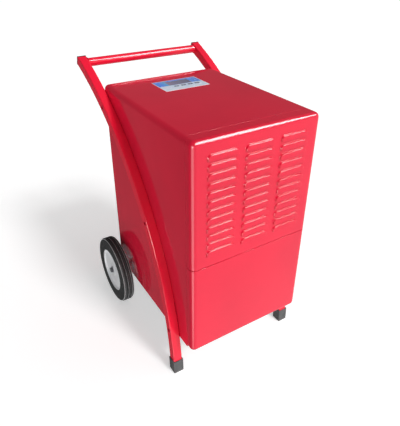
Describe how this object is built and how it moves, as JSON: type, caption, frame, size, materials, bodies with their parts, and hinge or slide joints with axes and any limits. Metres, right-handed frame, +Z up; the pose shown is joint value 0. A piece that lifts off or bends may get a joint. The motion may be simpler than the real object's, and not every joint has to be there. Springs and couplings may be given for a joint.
{
  "type": "dehumidifier",
  "caption": "Wheeled commercial dehumidifier: red steel case with louvred front, curved square rails ending in a handle bar, slide-out water tank and top control panel.",
  "frame": {"origin": "on the floor, below the middle of the whole machine's bounding box", "axes": "+Z up, -Y towards the louvred front, +X to the right of someone who stands in front facing +Y"},
  "size_m": [0.5362, 0.715, 0.9024],
  "materials": {
    "red_paint": "glossy powder coat",
    "rim_paint": "light grey enamel",
    "galvanised": "zinc-coated sheet",
    "plain_steel": "bright machined steel",
    "dark_steel": "blackened fasteners",
    "foot_rubber": "matt dark grey rubber",
    "tyre": "solid rubber tyre",
    "black_plastic": "fine-grained moulding",
    "nylon": "natural nylon",
    "fin_aluminium": "thin rolled fins",
    "copper": "drawn copper tube",
    "compressor_black": "black enamel",
    "label_print": "printed polycarbonate overlay",
    "key_plastic": "moulded key caps",
    "tank_plastic": "translucent polypropylene",
    "float_foam": "closed-cell float",
    "board_green": "circuit board",
    "mesh_dark": "woven filter mesh"
  },
  "bodies": {
    "chassis": {"hood": "red_paint", "upper_front_panel": "red_paint", "back_panel": "red_paint", "rail_left": "red_paint", "rail_right": "red_paint", "handle_bar": "red_paint", "base_tray": "galvanised", "deck": "galvanised", "bulkhead": "galvanised", "back_screws": "dark_steel", "foot_left": "foot_rubber", "foot_right": "foot_rubber", "rail_plugs": "black_plastic", "rail_bolts": "dark_steel", "rivet_nuts": "plain_steel", "axle": "plain_steel", "axle_brackets": "galvanised", "axle_spacers": "plain_steel", "wheel_washers": "plain_steel", "wheel_nuts": "dark_steel", "fan_shroud": "galvanised", "motor_bracket": "galvanised", "fan_motor": "compressor_black", "condenser": "fin_aluminium", "evaporator": "fin_aluminium", "drip_tray": "galvanised", "compressor": "compressor_black", "compressor_grommets": "foot_rubber", "compressor_bolts": "plain_steel", "accumulator": "compressor_black", "discharge_pipe": "copper", "suction_pipe": "copper", "liquid_pipe": "copper", "filter_drier": "copper", "capillary_tube": "copper", "electrical_box": "galvanised", "control_board": "board_green", "control_label": "label_print", "level_switch": "black_plastic", "cord_gland": "black_plastic", "drawer_slides": "galvanised", "filter_channels": "red_paint"},
    "wheel_left": {"tyre_left": "tyre", "rim_left": "rim_paint", "bush_left": "nylon"},
    "wheel_right": {"tyre_right": "tyre", "rim_right": "rim_paint", "bush_right": "nylon"},
    "fan": {"fan": "black_plastic"},
    "drawer": {"lower_front_panel": "red_paint", "drawer_tray": "galvanised", "tank": "tank_plastic"},
    "tank_handle": {"tank_handle": "plain_steel"},
    "tank_float": {"tank_float": "float_foam"},
    "filter": {"filter_frame": "black_plastic", "filter_mesh": "mesh_dark"},
    "key_power": {"key_power": "key_plastic"},
    "key_mode": {"key_mode": "key_plastic"},
    "key_down": {"key_down": "key_plastic"},
    "key_up": {"key_up": "key_plastic"}
  },
  "joints": [
    {"name": "wheel_left_spin", "type": "hinge", "parent": "chassis", "child": "wheel_left", "pos_m": [-0.2448, 0.1647, 0.127], "axis": [1, 0, 0], "continuous": true},
    {"name": "wheel_right_spin", "type": "hinge", "parent": "chassis", "child": "wheel_right", "pos_m": [0.2448, 0.1647, 0.127], "axis": [1, 0, 0], "continuous": true},
    {"name": "fan_spin", "type": "hinge", "parent": "chassis", "child": "fan", "pos_m": [0, -0.2925, 0.65], "axis": [0, 1, 0], "continuous": true},
    {"name": "drawer_slide", "type": "slide", "parent": "chassis", "child": "drawer", "axis": [0, -1, 0], "range_m": [0, 0.2]},
    {"name": "tank_handle_swing", "type": "hinge", "parent": "drawer", "child": "tank_handle", "pos_m": [0, -0.1955, 0.371], "axis": [-1, 0, 0], "range_deg": [0, 72]},
    {"name": "tank_float_swing", "type": "hinge", "parent": "drawer", "child": "tank_float", "pos_m": [0, -0.1055, 0.345], "axis": [-1, 0, 0], "range_deg": [0, 35]},
    {"name": "filter_slide", "type": "slide", "parent": "chassis", "child": "filter", "axis": [0, 0, 1], "range_m": [0, 0.27]},
    {"name": "key_power_press", "type": "slide", "parent": "chassis", "child": "key_power", "axis": [0, 0, -1], "range_m": [0, 0.0008], "stiffness_N_per_m": 600},
    {"name": "key_mode_press", "type": "slide", "parent": "chassis", "child": "key_mode", "axis": [0, 0, -1], "range_m": [0, 0.0008], "stiffness_N_per_m": 600},
    {"name": "key_down_press", "type": "slide", "parent": "chassis", "child": "key_down", "axis": [0, 0, -1], "range_m": [0, 0.0008], "stiffness_N_per_m": 600},
    {"name": "key_up_press", "type": "slide", "parent": "chassis", "child": "key_up", "axis": [0, 0, -1], "range_m": [0, 0.0008], "stiffness_N_per_m": 600}
  ]
}
